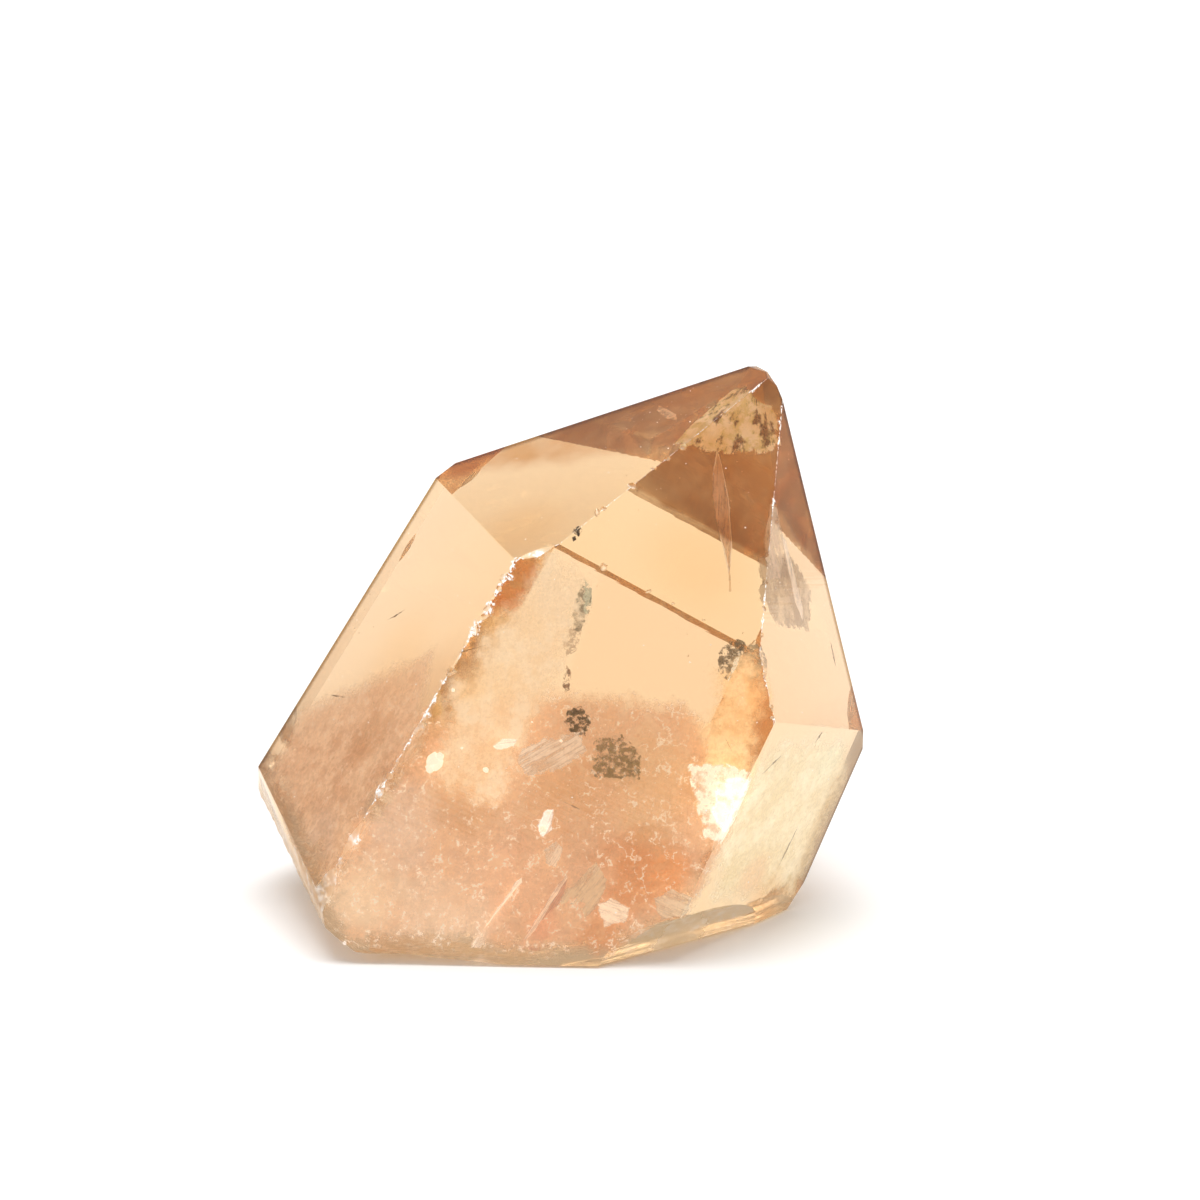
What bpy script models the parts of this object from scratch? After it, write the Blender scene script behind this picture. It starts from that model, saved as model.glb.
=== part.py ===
"""A single citrine crystal: a short, stout quartz point with six prism faces and six
tip faces, snapped off its cluster so that it rests, leaning, on the broken end.

Metres, +Z up, with the broad front face towards -Y. The dimensions below are in
millimetres and degrees, measured from the crystal's leaning axis or from the surface
that it rests on. The finished crystal is then moved so that the middle of its
footprint is the origin.
"""

import math

import bmesh
import bpy
from mathutils import Matrix, Vector, geometry, noise

MM = 0.001

# How the crystal leans, and the point inside it that its faces are measured from
AXIS_LEAN = 28.4
AXIS_HEADING = 4.8
GROWTH_CENTRE = (1.7, -1.2, 18.5)
BLANK_SIZE = 120.0

# Prism faces: heading around the axis, taper towards the tip, distance from the centre
PRISM_FACES = {
    "front": (-100.6, 3.9, 12.9),
    "front_left": (-160.3, 3.4, 15.8),
    "back_left": (139.4, 2.0, 17.2),
    "back": (79.4, 3.5, 19.5),
    "back_right": (19.4, 5.2, 16.7),
    "front_right": (-39.9, 4.7, 16.4),
}

# Tip faces: heading around the axis, rise above its equator, distance from the centre
TIP_FACES = {
    "front": (-100.7, 37.9, 14.6),
    "front_left": (-160.7, 38.6, 15.4),
    "back_left": (139.3, 38.6, 17.4),
    "back": (79.4, 37.4, 17.1),
    "back_right": (19.4, 38.2, 14.75),
    "front_right": (-40.7, 38.4, 15.2),
}

FACES = {"prism": PRISM_FACES, "tip": TIP_FACES}

# Knocked tip: three small flats, each with its outward direction and a point on it
TIP_FLATS = (
    ((0.12, 0.05, 0.99), (11.2, 0.3, 40.3)),
    ((0.58, -0.15, 0.80), (12.3, 0.3, 40.0)),
    ((0.93, -0.10, 0.36), (13.45, -0.4, 38.9)),
)

# Steep flats of the break: off the lower left end and off the right foot
BREAK_FLATS = (
    ((-0.952, -0.285, -0.114), (-25.5, 0.15, 9.35)),
    ((0.80, 0.10, -0.59), (14.9, -3.4, 1.3)),
)

# Underside of the break, which lifts off the surface towards the left
BELLY_START = -15.9
BELLY_RUN = 10.0
BELLY_RISE = 8.0
BELLY_POWER = 1.12

# Worn lip along the front left foot
LIP_BACK = -12.0
LIP_DEPTH = 4.0
LIP_RIGHT = -2.0
LIP_WIDTH = 12.0
LIP_RISE = 0.7

# Where the underside would lie if nothing hollowed it: just below the resting flat
BREAK_FLOOR = -0.5

# Shell-shaped hollows in the underside: centre, radius and depth
BREAK_BOWLS = (
    ((-4.0, -3.0), 9.5, 1.9),
    ((5.5, 5.0), 8.0, 1.3),
    ((-15.0, 2.0), 6.5, 0.8),
    ((-12.5, 18.0), 8.5, 2.6),
    ((6.5, 19.5), 7.5, 2.4),
    ((19.0, 3.5), 5.4, 1.7),
)
WARP_LENGTH = 6.5
WARP_AMOUNT = 0.45
RIPPLE_HEIGHT = 0.16
RIPPLE_LENGTH = 2.6
ROUGH_LENGTH = 2.1
ROUGH_HEIGHT = 0.22

# Grid that carries the underside's shape, and how far the cutter goes below it
BREAK_SIZE = 64.0
BREAK_CELLS = 90
BREAK_BELOW = -6.0

# Curved flake lost from the front right foot
SCOOP_FROM = (1.5, -15.6)
SCOOP_HEADING = 39.5
SCOOP_REACH = 4.5
SCOOP_RADIUS = 4.6
SCOOP_SINK = 0.95
SCOOP_LENGTH = 60.0
SCOOP_SIDES = 64

# Flakes lost along edges: the two faces that meet there, the height of the flake above
# the surface, its radius, and how deep it bites
EDGE_FLAKES = {
    "flake_shoulder": (("tip", "front_left"), ("prism", "front"), 29.8, 1.5, 0.30),
    "flake_left_high": (("prism", "front"), ("prism", "front_left"), 21.6, 1.9, 0.22),
    "flake_left_ledge": (("prism", "front"), ("prism", "front_left"), 14.4, 1.2, 0.16),
    "flake_left_low": (("prism", "front"), ("prism", "front_left"), 8.9, 2.0, 0.40),
    "flake_left_foot": (("prism", "front"), ("prism", "front_left"), 4.6, 2.4, 0.80),
    "flake_right": (("tip", "front_right"), ("prism", "front"), 19.2, 1.6, 0.22),
    "flake_right_foot": (("prism", "front"), ("prism", "front_right"), 9.4, 1.4, 0.20),
    "flake_crest": (("tip", "front"), ("tip", "front_right"), 28.5, 1.0, 0.10),
    "flake_back_low": (("prism", "back"), ("prism", "back_right"), 8.0, 2.4, 0.45),
    "flake_back_high": (("prism", "back"), ("prism", "back_left"), 17.5, 1.8, 0.25),
    "flake_back_crest": (("tip", "back"), ("tip", "back_left"), 34.0, 1.3, 0.16),
}
FLAKE_DETAIL = 3
FLAKE_SQUASH = (1.0, 0.9, 1.7)


def clear_objects():
    for thing in list(bpy.data.objects):
        bpy.data.objects.remove(thing, do_unlink=True)


def new_collection(name):
    group = bpy.data.collections.new(name)
    bpy.context.scene.collection.children.link(group)
    return group


def add_object(name, bm, group, parent):
    bmesh.ops.recalc_face_normals(bm, faces=bm.faces)
    mesh = bpy.data.meshes.new(name)
    bm.to_mesh(mesh)
    bm.free()
    thing = bpy.data.objects.new(name, mesh)
    thing.parent = parent
    group.objects.link(thing)
    return thing


def add_cutter(name, bm, group, parent, body):
    cutter = add_object(name, bm, group, parent)
    cutter.hide_render = True
    cutter.display_type = "WIRE"
    cut = body.modifiers.new(name, "BOOLEAN")
    cut.operation = "DIFFERENCE"
    cut.solver = "EXACT"
    cut.object = cutter
    return cutter


def axis_turn():
    """The turn that takes an upright crystal to its lean."""
    lean = Matrix.Rotation(math.radians(AXIS_LEAN), 3, "Y")
    return Matrix.Rotation(math.radians(AXIS_HEADING), 3, "Z") @ lean


def face_plane(kind, side):
    """Outward direction of a growth face and a point on it, in millimetres."""
    heading, rise, distance = FACES[kind][side]
    around, up = math.radians(heading), math.radians(rise)
    across = math.cos(up)
    upright = Vector((across * math.cos(around), across * math.sin(around), math.sin(up)))
    outward = axis_turn() @ upright
    return outward, Vector(GROWTH_CENTRE) + outward * distance


def slice_off(bm, point, outward):
    """Take away all beyond a plane and close the cut with one flat face."""
    cut = bmesh.ops.bisect_plane(
        bm,
        geom=list(bm.verts) + list(bm.edges) + list(bm.faces),
        dist=0.001 * MM,
        plane_co=point,
        plane_no=outward,
        clear_outer=True,
    )
    rim = [item for item in cut["geom_cut"] if isinstance(item, bmesh.types.BMEdge)]
    if rim:
        bmesh.ops.contextual_create(bm, geom=rim)


def grow_point(bm):
    """Cut the block to the prism faces and the tip faces."""
    bmesh.ops.create_cube(bm, size=BLANK_SIZE * MM)
    for kind, sides in FACES.items():
        for side in sides:
            outward, point = face_plane(kind, side)
            slice_off(bm, point * MM, outward)


def break_height(x, y):
    """Height of the broken underside above the surface, in millimetres."""
    height = BREAK_FLOOR
    for (bowl_x, bowl_y), radius, depth in BREAK_BOWLS:
        lumpy = noise.noise(Vector((x, y, radius)) / WARP_LENGTH)
        away = math.hypot(x - bowl_x, y - bowl_y) * (1.0 + WARP_AMOUNT * lumpy)
        if away < radius:
            bowl = (depth - BREAK_FLOOR) * math.cos(away / radius * math.pi / 2.0)
            ripple = RIPPLE_HEIGHT * math.sin(math.tau * away / RIPPLE_LENGTH)
            height = max(height, BREAK_FLOOR + bowl + ripple)
    left = max(0.0, (BELLY_START - x) / BELLY_RUN)
    belly = BREAK_FLOOR + BELLY_RISE * left**BELLY_POWER
    front = min(1.0, max(0.0, (LIP_BACK - y) / LIP_DEPTH))
    side = min(1.0, max(0.0, (LIP_RIGHT - x) / LIP_WIDTH))
    lip = BREAK_FLOOR + (LIP_RISE - BREAK_FLOOR) * front * side
    height = max(height, belly, lip)
    if height > 0.0:
        grain = noise.noise(Vector((x, y, 0.0)) / ROUGH_LENGTH)
        height += ROUGH_HEIGHT * grain * min(1.0, height)
    return height


def break_cutter():
    """A grid lifted to the underside's shape and pulled down into a closed block."""
    bm = bmesh.new()
    bmesh.ops.create_grid(
        bm,
        x_segments=BREAK_CELLS,
        y_segments=BREAK_CELLS,
        size=BREAK_SIZE * MM / 2.0,
    )
    for vert in bm.verts:
        vert.co.z = break_height(vert.co.x / MM, vert.co.y / MM) * MM
    pulled = bmesh.ops.extrude_face_region(bm, geom=list(bm.faces))
    for item in pulled["geom"]:
        if isinstance(item, bmesh.types.BMVert):
            item.co.z = BREAK_BELOW * MM
    return bm


def scoop_cutter():
    """A long round bar that lies under the front right foot."""
    bm = bmesh.new()
    bmesh.ops.create_cone(
        bm,
        cap_ends=True,
        segments=SCOOP_SIDES,
        radius1=SCOOP_RADIUS * MM,
        radius2=SCOOP_RADIUS * MM,
        depth=SCOOP_LENGTH * MM,
    )
    heading = math.radians(SCOOP_HEADING)
    outward = Vector((math.sin(heading), -math.cos(heading), 0.0))
    middle = Vector((*SCOOP_FROM, -SCOOP_SINK)) + outward * SCOOP_REACH
    laid = Matrix.Rotation(heading, 4, "Z") @ Matrix.Rotation(math.pi / 2.0, 4, "Y")
    bmesh.ops.transform(bm, matrix=Matrix.Translation(middle * MM) @ laid, verts=bm.verts)
    return bm


def flake_cutter(first, second, height, radius, bite):
    """A faceted ball whose cut looks like a flake struck from the edge of two faces."""
    first_out, first_point = face_plane(*first)
    second_out, second_point = face_plane(*second)
    edge, along = geometry.intersect_plane_plane(
        first_point, first_out, second_point, second_out
    )
    on_edge = edge + along * (height - edge.z) / along.z
    centre = on_edge + (first_out + second_out).normalized() * (radius - bite)
    bm = bmesh.new()
    bmesh.ops.create_icosphere(bm, subdivisions=FLAKE_DETAIL, radius=radius * MM)
    bmesh.ops.scale(bm, vec=FLAKE_SQUASH, verts=bm.verts)
    place = Matrix.Translation(centre * MM) @ along.to_track_quat("Z", "Y").to_matrix().to_4x4()
    bmesh.ops.transform(bm, matrix=place, verts=bm.verts)
    return bm


def crystal_material():
    material = bpy.data.materials.new("citrine")
    material.use_nodes = True
    shader = material.node_tree.nodes["Principled BSDF"]
    shader.inputs["Base Color"].default_value = (0.86, 0.55, 0.27, 1.0)
    shader.inputs["Roughness"].default_value = 0.04
    shader.inputs["Metallic"].default_value = 0.0
    shader.inputs["IOR"].default_value = 1.544
    shader.inputs["Transmission Weight"].default_value = 1.0
    return material


def footprint_middle(body):
    """Middle of the finished crystal's box, seen from above, at its lowest point."""
    finished = body.evaluated_get(bpy.context.evaluated_depsgraph_get())
    corners = [finished.matrix_world @ Vector(corner) for corner in finished.bound_box]
    lows = [min(corner[side] for corner in corners) for side in range(3)]
    highs = [max(corner[side] for corner in corners) for side in range(3)]
    return Vector(((lows[0] + highs[0]) / 2.0, (lows[1] + highs[1]) / 2.0, lows[2]))


clear_objects()
crystal_group = new_collection("citrine_crystal")
cutter_group = new_collection("citrine_cutters")

# An empty carries the crystal and its cutters, so that they move as one
stand = bpy.data.objects.new("stand", None)
crystal_group.objects.link(stand)

# The perfect crystal, its knocked tip, its resting flat and the steep flats beside it
blank = bmesh.new()
grow_point(blank)
resting_flat = ((0.0, 0.0, -1.0), (0.0, 0.0, 0.0))
for direction, place_on in (*TIP_FLATS, resting_flat, *BREAK_FLATS):
    slice_off(blank, Vector(place_on) * MM, Vector(direction).normalized())
crystal = add_object("citrine_crystal", blank, crystal_group, stand)
crystal.data.materials.append(crystal_material())

# The broken underside and the lost flakes
add_cutter("underside", break_cutter(), cutter_group, stand, crystal)
add_cutter("scoop", scoop_cutter(), cutter_group, stand, crystal)
for flake_name, flake in EDGE_FLAKES.items():
    add_cutter(flake_name, flake_cutter(*flake), cutter_group, stand, crystal)

# Stand the crystal on the origin by the middle of its footprint
bpy.context.view_layer.update()
stand.location = -footprint_middle(crystal)
bpy.context.view_layer.update()
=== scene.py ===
"""A rough citrine point on a pale table: the clear crystal, and the flaws sealed in it."""

import math
import random

import bpy
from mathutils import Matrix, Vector, noise


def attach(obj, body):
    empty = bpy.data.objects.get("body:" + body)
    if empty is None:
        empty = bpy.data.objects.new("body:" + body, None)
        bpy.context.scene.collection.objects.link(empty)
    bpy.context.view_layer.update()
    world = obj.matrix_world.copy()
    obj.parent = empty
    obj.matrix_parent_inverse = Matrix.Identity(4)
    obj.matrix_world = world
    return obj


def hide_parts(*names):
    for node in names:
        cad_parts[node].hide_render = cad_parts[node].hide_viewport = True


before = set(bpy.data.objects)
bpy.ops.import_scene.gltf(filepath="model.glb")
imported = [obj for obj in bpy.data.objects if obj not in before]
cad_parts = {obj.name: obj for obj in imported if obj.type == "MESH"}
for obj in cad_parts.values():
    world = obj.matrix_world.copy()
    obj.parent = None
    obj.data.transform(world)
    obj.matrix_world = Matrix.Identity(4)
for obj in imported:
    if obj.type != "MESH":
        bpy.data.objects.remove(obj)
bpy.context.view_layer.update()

MM = 0.001


# The viewpoint. The photograph was taken a little from above with a long close-up
# lens, and each flaw inside the crystal is placed by where it is seen from here.

VIEW_FROM = Vector((0.00316, -0.36163, 0.11949))
VIEW_AT = Vector((0.00316, -0.00134, 0.02295))
LENS = 150.0
FILM = 36.0
PICTURE = 1200.0

lens = bpy.data.cameras.new("viewpoint")
lens.lens = LENS
lens.sensor_width = FILM
lens.clip_start = 0.01
viewpoint = bpy.data.objects.new("viewpoint", lens)
bpy.context.scene.collection.objects.link(viewpoint)
viewpoint.location = VIEW_FROM
viewpoint.rotation_euler = (VIEW_AT - VIEW_FROM).to_track_quat("-Z", "Y").to_euler()
bpy.context.scene.camera = viewpoint


# The crystal. One piece of clear honey-coloured quartz, grown with six prism faces and
# six tip faces, and snapped off its cluster. The growth faces are glassy, the broken
# end is rough, and knocks have bruised its edges white.

CLEAR_INDEX = 1.544
BROKEN_GRAIN = 0.05
CHIP_SIZES = (0.16, 0.42)

GROWTH = {
    "front": (-0.046, -0.988, 0.146),
    "left": (-0.767, -0.403, 0.499),
    "right": (0.763, -0.577, -0.292),
    "front_tip": (0.228, -0.759, 0.610),
    "left_tip": (-0.330, -0.287, 0.899),
    "right_tip": (0.858, -0.440, 0.264),
    "back_left": (-0.703, 0.593, 0.391),
    "back_left_tip": (-0.267, 0.490, 0.830),
    "back": (0.108, 0.994, -0.034),
    "back_tip": (0.355, 0.805, 0.475),
    "back_right": (0.838, 0.403, -0.367),
    "back_right_tip": (0.921, 0.339, 0.191),
}


def growth_flats(mesh):
    """Measured direction of each growth face and a point on it, in metres."""
    found = {}
    for name, rough in GROWTH.items():
        towards = Vector(rough).normalized()
        facing = [side for side in mesh.polygons if side.normal.dot(towards) > 0.996]
        widest = max(facing, key=lambda side: side.area)
        found[name] = (widest.normal.copy(), widest.center.copy())
    return found


crystal_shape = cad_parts["citrine_crystal"]
flats = growth_flats(crystal_shape.data)


def sightline(face, x, y):
    """Where the line of sight of the picture's place x, y meets a face, and how it bends."""
    sideways = (x - PICTURE / 2.0) / PICTURE * FILM / LENS
    upwards = (PICTURE / 2.0 - y) / PICTURE * FILM / LENS
    look = viewpoint.rotation_euler.to_matrix() @ Vector((sideways, upwards, -1.0)).normalized()
    outward, on_face = flats[face]
    meets = VIEW_FROM + look * (on_face - VIEW_FROM).dot(outward) / look.dot(outward)
    slow = 1.0 / CLEAR_INDEX
    square_on = -look.dot(outward)
    turned = slow * square_on - math.sqrt(1.0 - slow**2 * (1.0 - square_on**2))
    return meets, look * slow + outward * turned


def seen(face, x, y, depth=0.0):
    """The picture's place x, y on a face, or so many mm deep behind it."""
    meets, inward = sightline(face, x, y)
    return meets - inward * depth * MM / inward.dot(flats[face][0])


def deselect():
    if bpy.context.object and bpy.context.object.mode != "OBJECT":
        bpy.ops.object.mode_set(mode="OBJECT")
    bpy.ops.object.select_all(action="DESELECT")


def pick(thing):
    deselect()
    thing.select_set(True)
    bpy.context.view_layer.objects.active = thing


def settle(thing, name):
    """Name a finished piece and put its place into its mesh."""
    pick(thing)
    bpy.ops.object.transform_apply(location=True, rotation=True, scale=True)
    thing.name = name
    thing.data.name = name


def finish_modifier(thing, kind, **settings):
    """Add a modifier and apply it."""
    pick(thing)
    work = thing.modifiers.new(kind.lower(), kind)
    for key, value in settings.items():
        setattr(work, key, value)
    bpy.ops.object.modifier_apply(modifier=work.name)


# Merge a copy of the crystal's shape, so that each growth face is one flat side
crystal = bpy.data.objects.new("crystal_body", crystal_shape.data.copy())
bpy.context.scene.collection.objects.link(crystal)
pick(crystal)
bpy.ops.object.mode_set(mode="EDIT")
bpy.ops.mesh.select_all(action="SELECT")
bpy.ops.mesh.remove_doubles(threshold=0.001 * MM)
bpy.ops.mesh.dissolve_limited(angle_limit=math.radians(0.3))
bpy.ops.object.mode_set(mode="OBJECT")

# Bruises along the edges: a chain of small splinters is struck out of each edge,
# given by the picture's places that it runs through
BRUISED_EDGES = (
    ("front", ((555, 545), (511, 556), (497, 590), (441, 678)), 24),
    ("front", ((425, 715), (400, 757), (350, 845), (328, 886)), 12),
    ("front", ((766, 655), (773, 722)), 6),
    ("front_tip", ((560, 540), (630, 487), (697, 436)), 7),
    ("front_tip", ((775, 505), (765, 600), (762, 640)), 6),
    ("front_tip", ((590, 560), (735, 636)), 4),
)


def along(route, share):
    """The place at a share of the way along a route of picture places."""
    lengths = [math.dist(one, two) for one, two in zip(route, route[1:])]
    left = share * sum(lengths)
    for length, one, two in zip(lengths, route, route[1:]):
        if left <= length:
            step = left / length
            return one[0] + (two[0] - one[0]) * step, one[1] + (two[1] - one[1]) * step
        left -= length
    return route[-1]


splinters = []
for edge_number, (face, route, count) in enumerate(BRUISED_EDGES):
    for number in range(count):
        jitter = noise.cell(Vector((number, edge_number, 0.5)) * 1.7)
        x, y = along(route, (number + 0.5 + 0.4 * jitter) / count)
        small, large = CHIP_SIZES
        size = small + (large - small) * abs(noise.cell(Vector((edge_number, number, 3.5)) * 2.3)) ** 1.6
        deselect()
        bpy.ops.mesh.primitive_ico_sphere_add(subdivisions=1, radius=size * MM, location=seen(face, x, y))
        splinter = bpy.context.object
        splinter.scale = (1.0, 0.8, 1.5 + jitter)
        splinter.rotation_euler = (jitter * 3.0, 0.4 + jitter, number * 1.3)
        splinters.append(splinter)
deselect()
for splinter in splinters:
    splinter.select_set(True)
bpy.context.view_layer.objects.active = splinters[0]
bpy.ops.object.join()
bruises = splinters[0]
settle(bruises, "bruises")
finish_modifier(crystal, "BOOLEAN", operation="DIFFERENCE", solver="EXACT", object=bruises, use_self=True)
bpy.data.objects.remove(bruises, do_unlink=True)


def growth_side(side):
    """Whether a side of the mesh belongs to one of the flat growth faces."""
    for outward, on_face in flats.values():
        if side.normal.dot(outward) > 0.9995 and abs((side.center - on_face).dot(outward)) < 0.02 * MM:
            return True
    return False


# The broken end gets a finer grain than the growth faces, and is marked as broken
pick(crystal)
mesh = crystal.data
mesh.polygons.foreach_set("select", [not growth_side(side) for side in mesh.polygons])
bpy.ops.object.mode_set(mode="EDIT")
bpy.ops.mesh.select_mode(type="FACE")
bpy.ops.mesh.subdivide(number_cuts=1, smoothness=0.0)
bpy.ops.object.mode_set(mode="OBJECT")
rough_sides = [not growth_side(side) for side in mesh.polygons]
mesh.polygons.foreach_set("use_smooth", rough_sides)
kept = set()
for side, rough in zip(mesh.polygons, rough_sides):
    if not rough:
        kept.update(side.vertices)
inner = [vert.index for vert in mesh.vertices if vert.index not in kept and vert.co.z > 0.02 * MM]
grainy = crystal.vertex_groups.new(name="grainy")
grainy.add(inner, 1.0, "REPLACE")
mesh.attributes.new("broken", "FLOAT", "POINT")
marks = [float(vert.index not in kept) for vert in mesh.vertices]
mesh.attributes["broken"].data.foreach_set("value", marks)
grain = bpy.data.textures.new("broken_grain", "CLOUDS")
grain.noise_scale = 0.7 * MM
finish_modifier(
    crystal,
    "DISPLACE",
    texture=grain,
    texture_coords="LOCAL",
    vertex_group="grainy",
    strength=BROKEN_GRAIN * 3.0 * MM,
    mid_level=0.5,
)


class Reading:
    """A number or colour read off a surface, which sums and products can be made of."""

    def __init__(self, recipe, socket):
        self.recipe = recipe
        self.socket = socket

    def maths(self, operation, *values):
        settings = {"operation": operation}
        return self.recipe.node("Math", settings, dict(enumerate(values)))

    def __add__(self, other):
        return self.maths("ADD", self, other)

    def __radd__(self, other):
        return self.maths("ADD", other, self)

    def __sub__(self, other):
        return self.maths("SUBTRACT", self, other)

    def __rsub__(self, other):
        return self.maths("SUBTRACT", other, self)

    def __mul__(self, other):
        return self.maths("MULTIPLY", self, other)

    def __rmul__(self, other):
        return self.maths("MULTIPLY", other, self)

    def __truediv__(self, other):
        return self.maths("DIVIDE", self, other)

    def __rtruediv__(self, other):
        return self.maths("DIVIDE", other, self)

    def __pow__(self, other):
        return self.maths("POWER", self, other)

    def least(self, other):
        return self.maths("MINIMUM", self, other)

    def most(self, other):
        return self.maths("MAXIMUM", self, other)

    def size(self):
        return self.maths("ABSOLUTE", self)

    def rise(self, low, high):
        """Nothing below low, all above high, and a soft step between."""
        values = {"Value": self, "From Min": low, "From Max": high}
        return self.recipe.node("MapRange", {"interpolation_type": "SMOOTHSTEP"}, values)

    def fall(self, low, high):
        """All below low, nothing above high."""
        values = {"Value": self, "From Min": low, "From Max": high, "To Min": 1.0, "To Max": 0.0}
        return self.recipe.node("MapRange", {"interpolation_type": "SMOOTHSTEP"}, values)


class Recipe:
    """A material, and the nodes that its finish is made with."""

    def __init__(self, name):
        self.material = bpy.data.materials.new(name)
        self.material.use_nodes = True
        self.material.cycles.emission_sampling = "NONE"
        self.tree = self.material.node_tree
        self.shader = self.tree.nodes["Principled BSDF"]
        self.end = self.tree.nodes["Material Output"]
        self.place = self.node("TexCoord", output="Object")

    def feed(self, socket, value):
        if isinstance(value, Reading):
            self.tree.links.new(value.socket, socket)
        elif isinstance(value, tuple) and len(value) == 3 and socket.type == "RGBA":
            socket.default_value = (*value, 1.0)
        else:
            socket.default_value = value

    def node(self, kind, settings=None, values=None, output=0):
        made = self.tree.nodes.new("ShaderNode" + kind)
        for name, value in (settings or {}).items():
            setattr(made, name, value)
        for name, value in (values or {}).items():
            self.feed(made.inputs[name], value)
        return Reading(self, made.outputs[output])

    def set(self, **values):
        for name, value in values.items():
            self.feed(self.shader.inputs[name.replace("_", " ").title().replace("Ior", "IOR")], value)

    def measure(self, direction):
        """Distance along a direction, in millimetres."""
        values = {0: self.place, 1: tuple(Vector(direction) * 1000.0)}
        return self.node("VectorMath", {"operation": "DOT_PRODUCT"}, values, "Value")

    def above(self, face, start, end, sink=0.0):
        """Distance above a line drawn on a face between two places in the picture."""
        outward, _ = flats[face]
        one, two = seen(face, *start, sink), seen(face, *end, sink)
        uphill = outward.cross(two - one).normalized()
        return self.measure(uphill) - uphill.dot(one) * 1000.0

    def inset(self, face):
        """Depth below a growth face."""
        outward, on_face = flats[face]
        return outward.dot(on_face) * 1000.0 - self.measure(outward)

    def on(self, face):
        return self.inset(face).fall(0.02, 0.06)

    def near(self, face, x, y, sink=0.0):
        """Distance from a picture place on a face, or so deep behind it."""
        values = {0: self.place, 1: tuple(seen(face, x, y, sink))}
        return self.node("VectorMath", {"operation": "DISTANCE"}, values, "Value") * 1000.0

    def vector(self, x, y, z):
        return self.node("CombineXYZ", {}, {0: x, 1: y, 2: z})

    def cloud(self, scale, detail=3.0, rough=0.55, at=None, shift=0.0):
        """Soft noise about 0.5, with features of 1 / scale millimetres."""
        if at is None:
            stretch = 1000.0 * scale
            values = {0: self.place, 1: (stretch, stretch, stretch), 2: (shift, shift, shift)}
            at = self.node("VectorMath", {"operation": "MULTIPLY_ADD"}, values)
        values = {"Vector": at, "Scale": 1.0, "Detail": detail, "Roughness": rough}
        return self.node("TexNoise", {}, values, "Fac")

    def cells(self, scale, feature="F1", output="Distance", at=None, shift=0.0):
        if at is None:
            stretch = 1000.0 * scale
            values = {0: self.place, 1: (stretch, stretch, stretch), 2: (shift, shift, shift)}
            at = self.node("VectorMath", {"operation": "MULTIPLY_ADD"}, values)
        return self.node("TexVoronoi", {"feature": feature}, {"Vector": at, "Scale": 1.0}, output)

    def mix(self, factor, first, second):
        return self.node("Mix", {"data_type": "RGBA"}, {0: factor, 6: first, 7: second}, 2)

    def tint(self, factor, first, second):
        values = {0: factor, 6: first, 7: second}
        return self.node("Mix", {"data_type": "RGBA", "blend_type": "MULTIPLY"}, values, 2)

    def bump(self, height, distance, strength=1.0):
        return self.node("Bump", {}, {"Height": height, "Distance": distance * MM, "Strength": strength})


citrine = Recipe("citrine")
WHITE = (0.93, 0.90, 0.86)
RIM_HIGHLIGHT_WHITE = (1.0, 1.0, 1.0)
# Painted light and shade: each near face gets its own tint. The honey colour is the stone's own, and the small
# differences between faces stand in for how each face is lit.
FACE_TINTS_WITH_SHADING = {
    "front": (0.86, 0.66, 0.47),
    "front_tip": (0.87, 0.66, 0.42),
    "left": (0.88, 0.69, 0.50),
    "left_tip": (0.88, 0.70, 0.46),
    "right": (0.87, 0.75, 0.57),
    "right_tip": (0.90, 0.71, 0.54),
}
FAR_TINT = (0.90, 0.74, 0.56)
SMOKY_AND_SHADE = (0.56, 0.29, 0.105)
OUTLINE_SHADE = (0.26, 0.16, 0.04)

drift = citrine.cloud(0.3, 2.0)
wander = (drift - 0.5) * 2.2
patchy = drift.rise(0.35, 0.65)
on = {name: citrine.on(name) for name in FACE_TINTS_WITH_SHADING}
colour = citrine.mix(0.0, FAR_TINT, FAR_TINT)
for name, tint in FACE_TINTS_WITH_SHADING.items():
    colour = citrine.mix(on[name], colour, tint)


def wash(amount, tint):
    """Lay a see-through tint over the crystal's own colour."""
    global colour
    colour = citrine.tint(amount, colour, tint)


# Smoky tip: partly the stone's own deeper colour at the tip, and partly painted shade in place of the darker
# surroundings that the tip reflects inside.
# Its lower edge on each tip face runs between places in the picture, and darkens to a painted olive shade band just
# before it ends.
front_edge = citrine.above("front_tip", (628, 486), (768, 562)) + wander * 0.45
left_edge = citrine.above("left_tip", (470, 474), (690, 446)) + wander
right_edge = citrine.above("right_tip", (775, 505), (822, 572)) + wander * 0.6
smoky_colour_and_shade = (
    on["front_tip"] * front_edge.rise(-0.12, 0.30)
    + on["left_tip"] * left_edge.rise(-0.9, 1.2)
    + on["right_tip"] * right_edge.rise(-0.7, 0.5)
)
wash(smoky_colour_and_shade * (0.75 + patchy * 0.25), SMOKY_AND_SHADE)
# Painted shade: olive bands just below the smoky edge on the front and right tip faces.
wash(on["front_tip"] * front_edge.rise(-0.1, 0.3) * front_edge.fall(0.4, 2.0) * 0.55, (0.62, 0.55, 0.36))
wash(on["right_tip"] * right_edge.rise(-0.5, 0.2) * right_edge.fall(0.4, 2.4) * 0.6, (0.55, 0.48, 0.34))
wash(citrine.near("front_tip", 768, 386).fall(0.9, 1.7) * 0.85, (0.52, 0.42, 0.33))

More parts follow.
